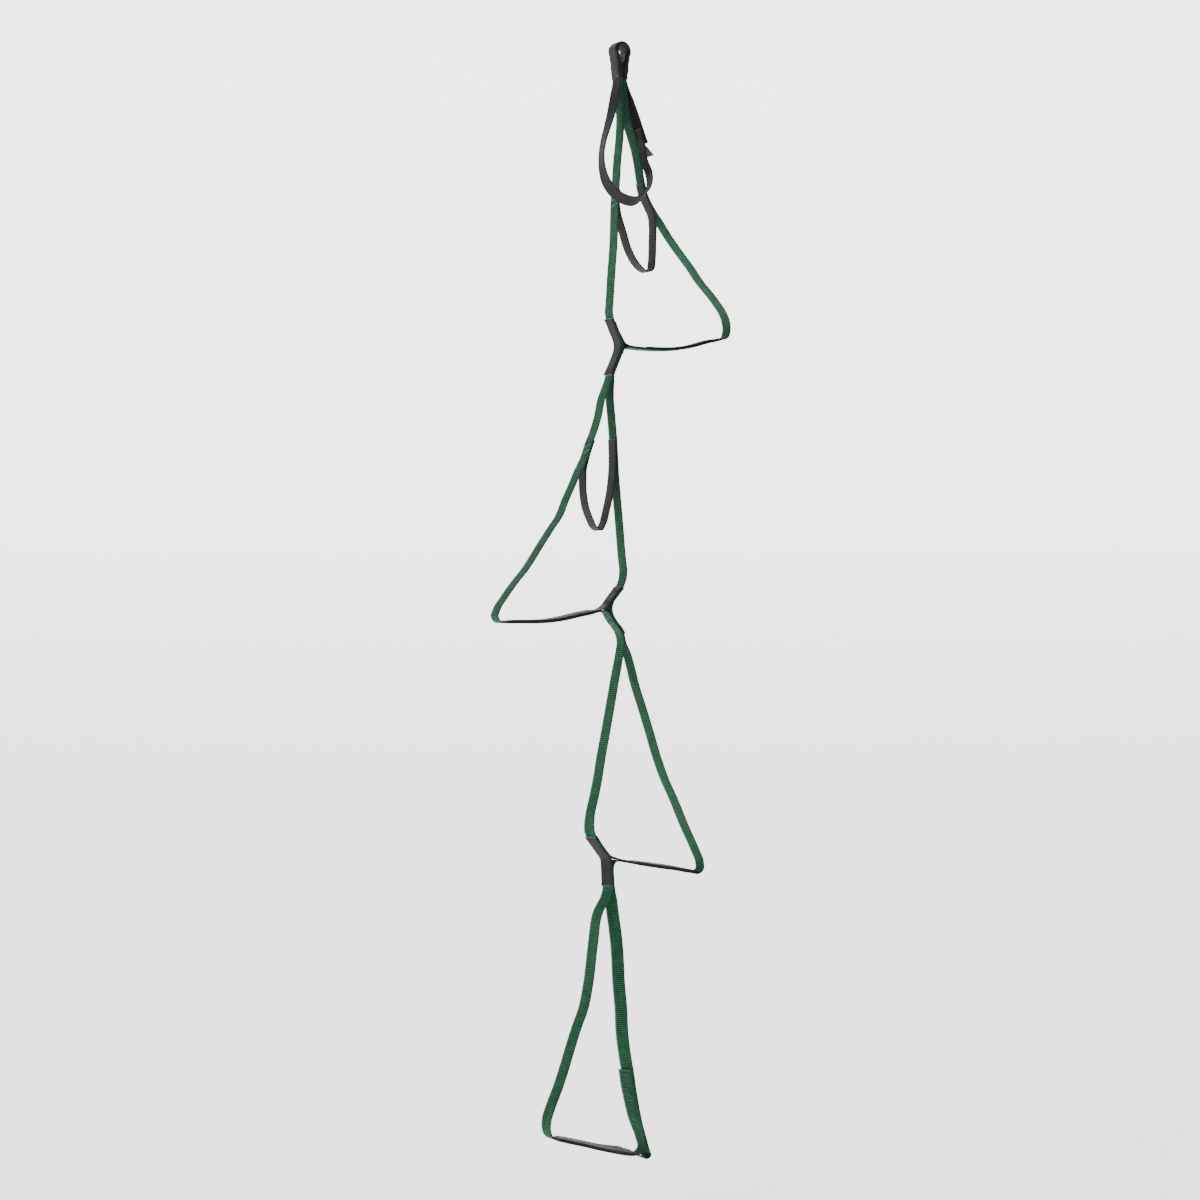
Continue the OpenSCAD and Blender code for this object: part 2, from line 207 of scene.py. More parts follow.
# Route [x, y, z] of the grab strap
GRAB = [
    (-STRAP_X, 0, -36), (-5.6, 0, -46), (-8.4, -1, -56), (-12, -3, -68), (-18, -6, -84),
    (-25.5, -9, -102), (-34, -12, -122), (-39.5, -15, -142), (-40.5, -18, -160),
    (-36, -20.5, -177), (-25, -22, -190), (-10, -23, -197), (6, -23, -198.5), (19, -23, -192.5),
    (29, -22.5, -182), (34, -20.5, -170), (36, -15.5, -157), (35.6, -8, -144), (34.8, -4, -131),
    (34.4, -2, -120), (32.4, -1, -109), (28.2, 0, -98.4),
]
# Degrees that the grab strap is turned about its own line, at points of that route
GRAB_TURN = [
    (0, 0), (1.5, -12), (3, -15), (4.5, -6), (6, 5), (7, 9), (8, 2), (9, -15), (10, -28),
    (11, -39), (12, -48), (13, -32), (14, -13), (16, -4), (21, 0),
]


# ---- Lines ----

def spline(points, per_span=12):
    """A smooth line through the points, by the same rule as the CAD source."""
    p = np.array(points, float)
    if p.shape[1] == 2:
        p = np.stack([p[:, 0], np.zeros(len(p)), p[:, 1]], 1)
    spans = np.linalg.norm(np.diff(p, axis=0), axis=1)
    chords = np.diff(p, axis=0) / spans[:, None]
    slopes = [chords[0]]
    for a, b, before, after in zip(spans, spans[1:], chords, chords[1:]):
        slopes.append((before * b + after * a) / (a + b))
    slopes.append(chords[-1])
    out = []
    for i, h in enumerate(spans):
        for t in np.arange(per_span) / per_span:
            out.append(
                (2 * t**3 - 3 * t**2 + 1) * p[i] + (t**3 - 2 * t**2 + t) * h * slopes[i]
                + (3 * t**2 - 2 * t**3) * p[i + 1] + (t**3 - t**2) * h * slopes[i + 1]
            )
    return np.array([*out, p[-1]])


def arc_lengths(line):
    """Length along the line to each of its points."""
    steps = np.linalg.norm(np.diff(line, axis=0), axis=1)
    return np.concatenate([[0], np.cumsum(steps)])


class Band:
    """A flat band's centre line in equal steps, with its direction, its width and its face at each
    step. The face looks to +X where the band runs down."""

    def __init__(self, line, width, thickness, step, turn=None):
        at = arc_lengths(line)
        count = max(2, round(at[-1] / step))
        self.s = np.linspace(0, at[-1], count + 1)
        self.centre = np.stack([np.interp(self.s, at, line[:, k]) for k in range(3)], 1)
        along = np.gradient(self.centre, axis=0)
        self.along = along / np.linalg.norm(along, axis=1)[:, None]
        face = np.cross(self.along, [0.0, 1.0, 0.0])
        face /= np.linalg.norm(face, axis=1)[:, None]
        side = np.cross(face, self.along)
        if turn is None:
            turn = np.zeros(len(self.s))
        c, s = np.cos(turn)[:, None], np.sin(turn)[:, None]
        self.side = side * c + face * s
        self.face = face * c - side * s
        self.width, self.thickness = width, thickness

    def at_height(self, z, after=0.0):
        """Arc length where the band first comes down past z, past the arc length after."""
        below = np.nonzero((self.centre[:, 2] < z) & (self.s > after))[0]
        return self.s[below[0]]

    def where(self, s):
        """Centre, direction, width and face at the arc length s."""
        rows = [self.centre, self.along, self.side, self.face]
        return [np.array([np.interp(s, self.s, r[:, k]) for k in range(3)]) for r in rows]


def left_of(line):
    """Directions to the left-hand side of a line in the ladder's plane: to +X where it runs down."""
    t = np.gradient(line, axis=0)
    t /= np.linalg.norm(t, axis=1)[:, None]
    return np.stack([-t[:, 2], 0 * t[:, 0], t[:, 0]], 1)


def moved(route, distance):
    """The smooth line of a route, moved to its left-hand side."""
    line = spline(route)
    return line + distance * left_of(line)


# ---- Meshes ----

def new_piece(name, verts, faces, material, uv=None, cut=None):
    """A mesh piece. Its points are in millimetres, and so is uv, which has one pair for each point."""
    mesh = bpy.data.meshes.new(name)
    mesh.from_pydata([tuple(v) for v in np.asarray(verts) * MM], [], faces)
    mesh.polygons.foreach_set("use_smooth", [True] * len(mesh.polygons))
    if uv is not None:
        layer = mesh.uv_layers.new(name="strap")
        flat = np.array([uv[v] for f in faces for v in f], np.float32)
        layer.data.foreach_set("uv", flat.ravel())
    if cut is not None:
        attribute = mesh.attributes.new("cut", "FLOAT", "POINT")
        attribute.data.foreach_set("value", np.asarray(cut, np.float32))
    mesh.materials.append(material)
    piece = bpy.data.objects.new(name, mesh)
    bpy.context.scene.collection.objects.link(piece)
    return piece


def section(width, thickness, across):
    """Closed outline of a band's section, as (v, n, face sign): v across, n out of the face."""
    r = 0.48 * thickness
    flat = np.linspace(-width / 2 + r, width / 2 - r, across)
    turn = np.radians([60, 25, 0, -25, -60])
    outline = [(v, thickness / 2, 1.0) for v in flat]
    outline += [(width / 2 - r + r * math.cos(a), thickness / 2 * math.sin(a), 0.0) for a in turn]
    outline += [(v, -thickness / 2, -1.0) for v in flat[::-1]]
    outline += [(-width / 2 + r - r * math.cos(a), -thickness / 2 * math.sin(a), 0.0) for a in turn]
    return np.array(outline)


def strap_mesh(band, s0, s1, rib, pitch, selvedge, across=7, lift=None, cuts=(False, False)):
    """Points, faces, uv and cut marks of the stretch of a band from s0 to s1. rib and selvedge say
    how far its ribs stand out."""
    pick = (band.s >= s0 - 1e-6) & (band.s <= s1 + 1e-6)
    s = band.s[pick]
    outline = section(band.width, band.thickness, across)
    m, n = len(outline), len(s)
    wave = 0.5 + 0.5 * np.cos(2 * math.pi * s / pitch)
    v, h, sign = outline.T
    verts = np.zeros((n, m, 3))
    uv = np.zeros((n, m, 2))
    for i in range(n):
        grow = np.where(sign != 0, sign * rib * (wave[i] - 0.5), 0)
        wide = v + np.where(sign == 0, np.sign(v) * selvedge * (wave[i] - 0.5), 0)
        raised = h + grow
        if lift is not None:
            raised = raised + lift(s[i] - s[0], s[-1] - s[i], v)
        index = np.nonzero(pick)[0][i]
        across_band = wide[:, None] * band.side[index]
        verts[i] = band.centre[index] + across_band + raised[:, None] * band.face[index]
        uv[i, :, 0], uv[i, :, 1] = s[i], v
    faces = [
        (i * m + k, i * m + (k + 1) % m, (i + 1) * m + (k + 1) % m, (i + 1) * m + k)
        for i in range(n - 1) for k in range(m)
    ]
    faces = [f[::-1] for f in faces]
    faces += [tuple(range(m)), tuple((n - 1) * m + k for k in range(m - 1, -1, -1))]
    cut = np.zeros((n, m))
    if cuts[0]:
        cut[0], cut[1] = 1, 0.5
    if cuts[1]:
        cut[-1], cut[-2] = 1, 0.5
    return verts.reshape(-1, 3), faces, uv.reshape(-1, 2), cut.ravel()


def tube_mesh(path, radius, sides=6):
    """A round tube along a path of points in millimetres, closed at both ends."""
    p = np.array(path, float)
    along = np.gradient(p, axis=0)
    along /= np.linalg.norm(along, axis=1)[:, None]
    start = np.cross(along[0], [0.3, 0.9, 0.31])
    side = start / np.linalg.norm(start)
    verts = []
    for point, t in zip(p, along):
        side = side - t * (side @ t)
        side /= np.linalg.norm(side)
        other = np.cross(t, side)
        for k in range(sides):
            a = 2 * math.pi * k / sides
            verts.append(point + radius * (math.cos(a) * side + math.sin(a) * other))
    n = len(p)
    faces = []
    for i in range(n - 1):
        ring, after = i * sides, (i + 1) * sides
        for k in range(sides):
            beyond = (k + 1) % sides
            faces.append((ring + k, ring + beyond, after + beyond, after + k))
    last = (n - 1) * sides
    faces += [tuple(range(sides - 1, -1, -1)), tuple(last + k for k in range(sides))]
    return verts, faces


def joined(parts):
    """Several (points, faces) as one."""
    verts, faces = [], []
    for v, f in parts:
        faces += [tuple(i + len(verts) for i in face) for face in f]
        verts += list(v)
    return verts, faces


# ---- Materials ----

class Graph:
    """Short calls for making a material's nodes."""

    def __init__(self, name):
        self.material = bpy.data.materials.new(name)
        self.material.use_nodes = True
        self.tree = self.material.node_tree
        self.shader = self.tree.nodes["Principled BSDF"]

    def node(self, kind, inputs=(), output=0, **settings):
        made = self.tree.nodes.new(kind)
        for key, value in settings.items():
            setattr(made, key, value)
        for place, value in inputs:
            self.put(made.inputs[place], value)
        return made.outputs[output]

    def put(self, socket, value):
        if isinstance(value, bpy.types.NodeSocket):
            self.tree.links.new(value, socket)
        else:
            socket.default_value = value

    def math(self, operation, *values):
        return self.node("ShaderNodeMath", enumerate(values), operation=operation)

    def mix(self, share, a, b):
        return self.node(
            "ShaderNodeMix", [("Factor", share), (6, a), (7, b)], output=2, data_type="RGBA"
        )

    def ramp(self, value, low, high):
        """0 at low, 1 at high."""
        return self.node(
            "ShaderNodeMapRange", [("Value", value), ("From Min", low), ("From Max", high)]
        )

    def noise(self, vector, scale, detail=2.0):
        settings = [("Vector", vector), ("Scale", scale), ("Detail", detail)]
        return self.node("ShaderNodeTexNoise", settings)


def colour(r, g, b):
    return (r, g, b, 1.0)


def woven(
    name, base, painted_valley_shade, worn, pitch, yarn, half_width, roughness, sheen, bump, shine, dots_and_highlight=0.0,
):
    """Woven webbing: ribs across the width, each made of side-by-side yarns, with painted shade in
    the rib valleys, between the yarns and along the selvedges, a little faded where it rubs, with pale
    fibres at a cut end and, on webbing, pale marks on the ribs beside the lit selvedge only, partly a
    painted highlight."""
    g = Graph(name)
    uv = g.node("ShaderNodeUVMap", uv_map="strap")
    parts = g.tree.nodes.new("ShaderNodeSeparateXYZ")
    g.put(parts.inputs[0], uv)
    u, v = parts.outputs[0], parts.outputs[1]
    wave = g.math("COSINE", g.math("MULTIPLY", u, 2 * math.pi / pitch))
    rib = g.math("MULTIPLY_ADD", wave, 0.5, 0.5)
    column = g.math("MULTIPLY", v, math.pi / yarn)
    thread = g.math("ABSOLUTE", g.math("COSINE", column))
    plies = g.math("MULTIPLY", u, 2 * math.pi / 0.55)
    twist = g.math("SINE", g.math("ADD", plies, g.math("MULTIPLY", column, 2)))
    patch = g.noise(uv, 0.09, 3.0)
    grain = g.noise(uv, 2.3, 2.0)
    # Painted shade: the rib valleys, the gaps between the yarns and a band along each selvedge are mixed
    # toward the darker shade colour.
    edge = g.ramp(g.math("ABSOLUTE", v), half_width - 1.3, half_width - 0.2)
    painted_shade = g.math("MULTIPLY", g.ramp(rib, 0.72, 0.1), 0.92)
    painted_shade = g.math("MAXIMUM", painted_shade, g.math("MULTIPLY", g.ramp(thread, 0.45, 0.0), 0.45))
    painted_shade = g.math("MAXIMUM", painted_shade, g.math("MULTIPLY", edge, 0.55))
    tint = g.mix(g.ramp(patch, 0.35, 0.7), base, worn)
    tint = g.mix(painted_shade, tint, painted_valley_shade)
    tint = g.mix(g.math("MULTIPLY", g.ramp(grain, 0.45, 0.8), 0.25), tint, worn)
    # Pale marks on the ribs beside the +v selvedge only: the webbing has such marks, but keeping them to
    # this lit side makes them partly a painted highlight.
    if dots_and_highlight:
        border = g.ramp(g.math("ABSOLUTE", g.math("SUBTRACT", v, half_width - 1.5)), 1.0, 0.5)
        dot_and_highlight = g.math("MULTIPLY", border, g.ramp(rib, 0.55, 0.9))
        tint = g.mix(g.math("MULTIPLY", dot_and_highlight, dots_and_highlight), tint, colour(0.20, 0.38, 0.28))
    end = g.node("ShaderNodeAttribute", output="Fac", attribute_name="cut")
    frayed = g.math("MULTIPLY", end, g.ramp(grain, 0.3, 0.6))
    tint = g.mix(g.math("MULTIPLY", frayed, 0.8), tint, colour(0.26, 0.25, 0.24))
    height = g.math("MULTIPLY_ADD", thread, 0.55, g.math("MULTIPLY", rib, 0.6))
    height = g.math("ADD", height, g.math("MULTIPLY", twist, 0.08))
    height = g.math("ADD", height, g.math("MULTIPLY", grain, 0.35))
    normal = g.node(
        "ShaderNodeBump", [("Height", height), ("Strength", bump), ("Distance", 0.00016)]
    )
    rough = g.math("MULTIPLY_ADD", g.ramp(grain, 0.3, 0.7), 0.14, roughness)
    g.put(g.shader.inputs["Base Color"], tint)
    g.put(g.shader.inputs["Roughness"], rough)
    g.put(g.shader.inputs["Normal"], normal)
    g.shader.inputs["Sheen Weight"].default_value = sheen
    g.shader.inputs["Sheen Roughness"].default_value = 0.45
    g.shader.inputs["Specular IOR Level"].default_value = shine
    return g.material


def sewing_thread(name, dark, light):
    """Bonded thread: short runs of darker and lighter ply, the lighter runs a painted highlight."""
    g = Graph(name)
    place = g.node("ShaderNodeTexCoord", output="Object")
    settings = [("Vector", place), ("Scale", 900.0), ("Distortion", 2.0)]
    ply = g.node("ShaderNodeTexWave", settings, output="Fac")
    patch = g.noise(place, 260.0)
    # The light colour on the lighter runs of ply is a painted highlight on the thread.
    tint = g.mix(g.math("MULTIPLY", ply, g.ramp(patch, 0.35, 0.65)), dark, light)
    normal = g.node("ShaderNodeBump", [("Height", ply), ("Strength", 0.5), ("Distance", 0.00008)])
    g.put(g.shader.inputs["Base Color"], tint)
    g.put(g.shader.inputs["Normal"], normal)
    g.shader.inputs["Roughness"].default_value = 0.55
    g.shader.inputs["Sheen Weight"].default_value = 0.2
    return g.material


def plastic_strip(name):
    """Extruded strip with fine draw lines and a little dirt."""
    g = Graph(name)
    place = g.node("ShaderNodeTexCoord", output="Object")
    lines = g.noise(place, 700.0)
    dirt = g.noise(place, 30.0, 4.0)
    tint = g.mix(g.ramp(dirt, 0.4, 0.75), colour(0.022, 0.022, 0.021), colour(0.012, 0.012, 0.011))
    g.put(g.shader.inputs["Base Color"], tint)
    g.put(g.shader.inputs["Roughness"], g.math("MULTIPLY_ADD", lines, 0.2, 0.45))
    return g.material


# The darkest colour given to each material below is painted shade for rib valleys, yarn gaps and
# selvedges.
GREEN = woven(
    "green webbing",
    base=colour(0.013, 0.082, 0.038), painted_valley_shade=colour(0.001, 0.008, 0.005), worn=colour(0.028, 0.125, 0.064),
    pitch=RIB_PITCH, yarn=0.95, half_width=WEB_W / 2,
    roughness=0.66, sheen=0.03, bump=0.9, shine=0.10, dots_and_highlight=0.85,
)
BLACK = woven(
    "black tape",
    base=colour(0.0095, 0.0082, 0.0094), painted_valley_shade=colour(0.002, 0.002, 0.002),
    worn=colour(0.019, 0.0165, 0.0185),
    pitch=TAPE_PITCH, yarn=0.70, half_width=TAPE_W / 2,
    roughness=0.56, sheen=0.04, bump=0.7, shine=0.22,
)
SLEEVE = woven(
    "eye sleeve",
    base=colour(0.0045, 0.0045, 0.005), painted_valley_shade=colour(0.0015, 0.0015, 0.002),
    worn=colour(0.010, 0.010, 0.011),
    pitch=0.9, yarn=0.9, half_width=SLEEVE_W / 2 + 10,
    roughness=0.42, sheen=0.04, bump=0.6, shine=0.25,
)
# In each thread below, the second colour is the painted highlight on the lighter runs of ply.
THREAD = sewing_thread(
    "sewing thread", colour(0.003, 0.010, 0.007), colour(0.012, 0.036, 0.024),
)
# Pale green thread for the thin bars beside the dark ones: a painted highlight on the stitching.
HIGHLIGHT_THREAD = sewing_thread(
    "painted highlight thread", colour(0.045, 0.150, 0.095), colour(0.150, 0.330, 0.230),
)
GREY_THREAD = sewing_thread(
    "grey sewing thread", colour(0.040, 0.040, 0.042), colour(0.200, 0.198, 0.200),
)
STRIP = plastic_strip("stiffener strip")

# ---- Webs ----

RIB_STEP = RIB_PITCH / 4
ROUTE_A = (
    LEFT_1 + LEFT_STRAND_2[1:] + TREAD_2 + DROP_2 + LEFT_3[1:] + LEFT_STRAND_4[1:] + TREAD_4 + FLAP_4
)
ROUTE_B = (
    STRAND_RIGHT_1 + TREAD_1 + DROP_1 + RIGHT_2[1:] + STRAND_RIGHT_3[1:] + TREAD_3 + DROP_3
    + RIGHT_4[1:]
)
WEB_A = Band(spline(ROUTE_A), WEB_W, WEB_T, RIB_STEP)
WEB_B = Band(spline(ROUTE_B), WEB_W, WEB_T, RIB_STEP)
WEB_A.centre[:, 1] += FLAP_SHIFT * np.clip((WEB_A.s - WEB_A.s[-1] + 80) / 60, 0, 1)


def web_piece(name, band, s0, s1, nodes, cuts=(False, False)):
    mesh = strap_mesh(band, s0, s1, WEB_RIB, RIB_PITCH, WEB_SELVEDGE, cuts=cuts)
    piece = new_piece(name, mesh[0], mesh[1], GREEN, mesh[2], mesh[3])
    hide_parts(*nodes)
    return piece


def cross(piece, upper, lower, top, bottom):
    """Bakes the piece's transform into its points, without bending it. upper, lower, top and bottom are
    not used.
    """
    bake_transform(piece)


def webs(side, band):
    """One continuous web, as pieces that each cross one joint."""
    hinges = [HINGE_2, HINGE_3, HINGE_4]
    middles = [-150, -600, -925, -1245]
    cut = [0.0]
    for i in range(3):
        cut.append(band.at_height(middles[i], cut[-1]))
        cut.append(band.at_height(hinges[i] - UNDER_HINGE, cut[-1]))
    cut.append(band.at_height(middles[3], cut[-1]))
    cut.append(band.s[-1])
    for i in range(4):
        web, neck = f"{side}_web_{i + 1}", f"{side}_neck_{i + 1}"
        above = "head" if i == 0 else f"neck_{i + 1}"
        start, middle, end = cut[2 * i:2 * i + 3]
        upper_nodes = [web] if i == 0 else [web, neck]
        piece = web_piece(f"{web}_upper", band, start, middle, upper_nodes)
        if i == 0:
            cross(piece, above, "tier_1", *NECK_BEND)
        else:
            top = hinges[i - 1] - UNDER_HINGE
            cross(piece, above, f"tier_{i + 1}", top - 2, middles[i] + 6)
        lower_nodes = [web] if i == 3 else [web, f"{side}_neck_{i + 2}"]
        piece = web_piece(f"{web}_lower", band, middle, end, lower_nodes, cuts=(False, i == 3))
        if i == 3:
            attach(piece, "tier_4")
        else:
            cross(piece, f"tier_{i + 1}", f"neck_{i + 2}", hinges[i] + 3, hinges[i] - 6)


webs("left", WEB_A)
webs("right", WEB_B)


# ---- Tapes ----

def tape_piece(name, line, width, nodes, lift=None, cuts=(True, True), turn=None):
    band = Band(line, width, TAPE_T, TAPE_PITCH / 2, turn)
    mesh = strap_mesh(
        band, 0, band.s[-1], TAPE_RIB, TAPE_PITCH, TAPE_SELVEDGE, lift=lift, cuts=cuts,
    )
    piece = new_piece(name, mesh[0], mesh[1], BLACK, mesh[2], mesh[3])
    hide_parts(*nodes)
    return piece, band


def smooth_step(x):
    """Rises smoothly from 0 at 0 to 1 at 1."""
    x = np.clip(x, 0, 1)
    return x * x * (3 - 2 * x)


def beside(tread, near, far):
    """A line beside a tread's web: near millimetres off it at the ends, and far where the stiffening
    strip lies between."""
    web = spline(tread)
    s = arc_lengths(web)
    first, last = s[STRIP_MARGIN], s[-STRIP_MARGIN - 1]
    step = np.minimum(smooth_step((s - first + 5) / 4.5), smooth_step((last + 5 - s) / 4.5))
    return web + (near + (far - near) * step)[:, None] * left_of(web)


def liner(number, tread, rise, side):
    """A tread's liner: sewn to the web at both ends, over the stiffening strip between them."""
    line = beside(tread, side * TO_TAPE, side * TO_LINER)[::3]
    if rise:
        line = np.concatenate([line, spline(rise)[::4]])
    name = f"tread_liner_{number}"
    piece, band = tape_piece(name + "_tape", spline(line, 4), TAPE_W, [name])
    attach(piece, f"tier_{number}")
    strip_line = moved(tread, side * (WEB_T + STIFFENER_T) / 2)[STRIP_MARGIN:-STRIP_MARGIN]
    strip = Band(strip_line, STIFFENER_W, STIFFENER_T, 1.3)
    mesh = strap_mesh(strip, 0, strip.s[-1], 0.0, RIB_PITCH, 0.0)
    piece = new_piece(f"tread_strip_{number}", mesh[0], mesh[1], STRIP, mesh[2], mesh[3])
    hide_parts(f"tread_stiffener_{number}")
    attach(piece, f"tier_{number}")
    return band


LINERS = {
    1: liner(1, TREAD_1, RISE_1, -1),
    2: liner(2, TREAD_2, RISE_2, 1),
    3: liner(3, TREAD_3, RISE_3, -1),
    4: liner(4, TREAD_4, [], 1),
}


def peel(outward):
    """Lifts a patch's far corners off the web, at both ends."""
    def lift(from_start, to_end, v):
        near_end = np.exp(-min(from_start, to_end) / 3.0)
        corner = np.clip((v + 2) / (TAPE_W / 2), 0, 1) ** 2
        return outward * near_end * (0.5 + 2.2 * corner)
    return lift


def stretch(line, z_high, z_low):
    """The part of a line between two heights."""
    keep = (line[:, 2] <= z_high) & (line[:, 2] >= z_low)
    return line[keep]


def patch(number, route, side, z_high, z_low):
    """The tape patch on the outside of a junction."""
    line = stretch(moved(route, side * TO_TAPE), z_high, z_low)
    name, node = f"junction_tape_{number}", f"junction_patch_{number}"
    piece, _ = tape_piece(name, line, TAPE_W, [node], lift=peel(side))
    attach(piece, f"tier_{number}")


patch(1, LEFT_1, -1, -351, HINGE_2 + 1.1)
patch(2, RIGHT_2, 1, -702, -764)
patch(3, LEFT_3, -1, -1027, HINGE_4 + 1.1)

loop, _ = tape_piece("sub_step_1", spline(LOOP_1), TAPE_W, ["sub_step_tails_1", "sub_step_loop_1"])
cross(loop, "tier_1", "sub_step_1", -204, -228)
loop, _ = tape_piece("sub_step_2", spline(LOOP_2), TAPE_W, ["sub_step_tails_2", "sub_step_loop_2"])
cross(loop, "tier_2", "sub_step_2", -539, -563)


def grab_strap():
    """The grab strap: down from the eye, round the free loop, and the tail with its folded end."""
    line = spline(GRAB)
    per_span = (len(line) - 1) / (len(GRAB) - 1)
    places, degrees = np.array(GRAB_TURN, float).T
    at = arc_lengths(line)
    knots = at[(places * per_span).astype(int)]
    whole = Band(line, GRAB_W, TAPE_T, TAPE_PITCH / 2)
    turn = np.radians(np.interp(whole.s, knots, degrees))
    kernel = np.hanning(41)
    padded = np.pad(turn, 20, mode="edge")
    turn = np.convolve(padded, kernel / kernel.sum(), "valid")
    whole = Band(line, GRAB_W, TAPE_T, TAPE_PITCH / 2, turn)
    middle = whole.at_height(-56)
    for name, s0, s1, nodes in (("grab_strap_top", 0, middle, ["grab_root"]),
                                ("grab_strap_loop", middle, whole.s[-1], ["grab_root", "grab_loop"])):
        cuts = (False, s1 == whole.s[-1])
        mesh = strap_mesh(whole, s0, s1, TAPE_RIB, TAPE_PITCH, TAPE_SELVEDGE, cuts=cuts)
        piece = new_piece(name, mesh[0], mesh[1], BLACK, mesh[2], mesh[3])
        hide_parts(*nodes)
        if name == "grab_strap_top":
            cross(piece, "head", "tier_1", *NECK_BEND)
        else:
            lift_joint = next(j for j in frame["joints"] if j["name"] == "grab_loop_lift")
            axis = Vector(lift_joint["axis"])
            out = axis.cross(Vector((0, 1, 0))).normalized()
            if out.z > 0:
                out = -out
            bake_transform(piece)
    tail_line = spline(TAIL)
    count = round(arc_lengths(tail_line)[-1] / (TAPE_PITCH / 2)) + 1
    tail_turn = np.radians(-24 * np.clip(np.linspace(0, 3, count), 0, 1))
    tail, band = tape_piece(
        "grab_strap_tail", tail_line, GRAB_W, ["grab_tail"], cuts=(False, True), turn=tail_turn,
    )
    cross(tail, "head", "tier_1", *NECK_BEND)
    flap, _ = tape_piece("grab_strap_end", spline(END_FLAP), GRAB_W - 2, ["grab_end_flap"])
    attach(flap, "tier_1")
    return band


TAIL_BAND = grab_strap()


# ---- Hanging eye ----

def eye_sleeve():
    """The soft sleeve round the eye, bunched where it bends and hemmed at the neck, and the two
    layers inside it."""
    middle = EYE_R + EYE_T / 2
    neck_x = NECK_GAP + EYE_T / 2
    arc = [
        (middle * math.cos(a), middle * math.sin(a))
        for a in np.radians(np.arange(216, -37, -12))
    ]
    leg = [(7.1, -9.4), (5.2, -13.8), (neck_x, -19.5), (neck_x, -28), (neck_x, NECK_Z - 0.6)]
    route = spline([(-x, z) for x, z in leg[::-1]] + arc + leg)
    band = Band(route, SLEEVE_W, EYE_T, 0.7)
    outline = section(SLEEVE_W, EYE_T, 11)
    v, h, _ = outline.T
    total = band.s[-1]
    rng = np.random.default_rng(7)
    phases = rng.uniform(0, 2 * math.pi, 5)
    verts, uv = [], []
    for i, s in enumerate(band.s):
        top = math.exp(-(((s - total / 2) / 17.0) ** 2))
        hem = math.exp(-((min(s, total - s) - 4.5) / 1.1) ** 2)
        swell = 0.35 * top - 0.35 * hem
        wrinkle = sum(
            0.09 * math.sin(s * k + p + 0.9 * math.sin(1.3 * p))
            for k, p in zip((0.9, 1.7, 2.3, 3.1, 1.2), phases)
        )
        ripple = top * 0.30 * np.sin(s * 1.15 + 0.35 * v) * (h < 0)
        lean = 0.10 * np.sin(0.8 * v + 0.5 * s)
        z = band.centre[i][2]
        padding = 2.4 * math.exp(-(((z + 21) / 10.5) ** 2)) if z < 0 else 0.0
        meeting = (NECK_GAP - 0.05) / (1 + math.exp((z + 15.5) / 1.5))
        out = h + np.sign(h) * (swell + wrinkle * 0.6 + ripple + lean)
        out = out + np.where(h > 0, padding, -meeting)
        wide = v * (1 + 0.015 * math.sin(0.55 * s)) + np.sign(v) * (-0.25 * hem + 0.15 * top)
        ring = band.centre[i] + wide[:, None] * band.side[i] + out[:, None] * band.face[i]
        verts += list(ring)
        uv += [(s, a) for a in v]
    m, n = len(outline), len(band.s)
    faces = [
        (i * m + k, (i + 1) * m + k, (i + 1) * m + (k + 1) % m, i * m + (k + 1) % m)
        for i in range(n - 1) for k in range(m)
    ]
    faces += [tuple(range(m)), tuple((n - 1) * m + k for k in range(m - 1, -1, -1))]
    uncut = np.zeros(len(verts))
    piece = new_piece("padded_eye_sleeve", verts, faces, SLEEVE, uv, uncut)
    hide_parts("eye_sleeve")
    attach(piece, "head")
    for node, material, slot, width, thick, out in (
        ("eye_web", GREEN, "green_webbing", WEB_W, WEB_T, -TAPE_T / 2),
        ("eye_strap", BLACK, "black_tape", GRAB_W, TAPE_T, WEB_T / 2),
    ):
        layer = Band(route, width, thick, 0.7)
        layer.centre = layer.centre + out * layer.face
        mesh = strap_mesh(layer, 0, layer.s[-1], 0.0, RIB_PITCH, 0.0)
        name = node + "_inside_sleeve"
        inside = new_piece(name, mesh[0], mesh[1], material, mesh[2], mesh[3])
        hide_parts(node)
        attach(inside, "head")


eye_sleeve()


# ---- Stitching ----

def bar(band, s, out, v0, v1, slant=0.0, depth=0.75, radius=0.24, zigs=13):
    """One bar of zigzag stitching across a band, at the arc length s and out millimetres off its
    centre plane."""
    path = []
    for k in range(zigs + 1):
        share = k / zigs
        along = s + slant * (share - 0.5) + depth * (1 if k % 2 else -1)
        centre, _, side, face = band.where(along)
        path.append(centre + side * (v0 + (v1 - v0) * share) + face * out)
    return tube_mesh(path, radius)


def stitching(name, bars, node, body, material=THREAD):
    verts, faces = joined(bars)
    piece = new_piece(name, verts, faces, material)
    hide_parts(node)
    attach(piece, body)


def bars_at(band, heights, out, half, slant=1.2):
    """Bars across the whole of a band, where it comes down past each height."""
    return [bar(band, band.at_height(z), out, -half, half, slant, radius=0.34) for z in heights]


WEB_OUT = WEB_T / 2 + 0.12
TAPE_OUT = TAPE_T / 2 + 0.10
TAPE_HALF, WEB_HALF = TAPE_W / 2 - 2.0, WEB_W / 2 - 2.2


def rising(band, heights, out, half):
    """Bars on the part of a liner that runs up, at its end."""
    made = []
    for z in heights:
        above = np.nonzero(band.centre[:, 2] < z)[0]
        made.append(bar(band, band.s[above[-1]], out, -half, half, 1.2))
    return made


def both_threads(name, node, body, dark, light):
    """Dark bars of stitching, with pale ones beside them as a painted highlight."""
    stitching(name, dark, node, body)
    stitching(name + "_painted_highlight", light, node, body, HIGHLIGHT_THREAD)


